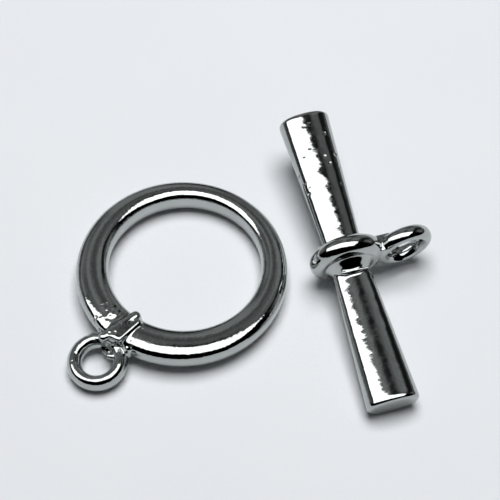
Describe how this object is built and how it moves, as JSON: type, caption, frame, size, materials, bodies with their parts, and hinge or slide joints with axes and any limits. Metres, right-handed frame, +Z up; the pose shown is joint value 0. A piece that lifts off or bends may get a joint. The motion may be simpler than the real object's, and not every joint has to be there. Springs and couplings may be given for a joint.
{
  "type": "toggle clasp",
  "caption": "Jewellery toggle clasp in plated casting metal: a round ring with a wrapped eye, and a flared bar with a collar and eye that passes through the ring.",
  "frame": {"origin": "at the height of the surface that both castings lie on, below the middle of their common box", "axes": "+Z up from that surface, +X from the ring to the bar, +Y away from the side where the ring's eye and the lowered bar end lie"},
  "size_m": [0.034, 0.0304, 0.0072],
  "materials": {
    "dark_plating_ring": "bright gunmetal plating over a cast surface with slight waves",
    "dark_plating_bar": "bright gunmetal plating over a cast surface with slight waves and pits"
  },
  "bodies": {
    "root": {"toggle_ring": "dark_plating_ring", "toggle_bar": "dark_plating_bar"}
  },
  "joints": []
}
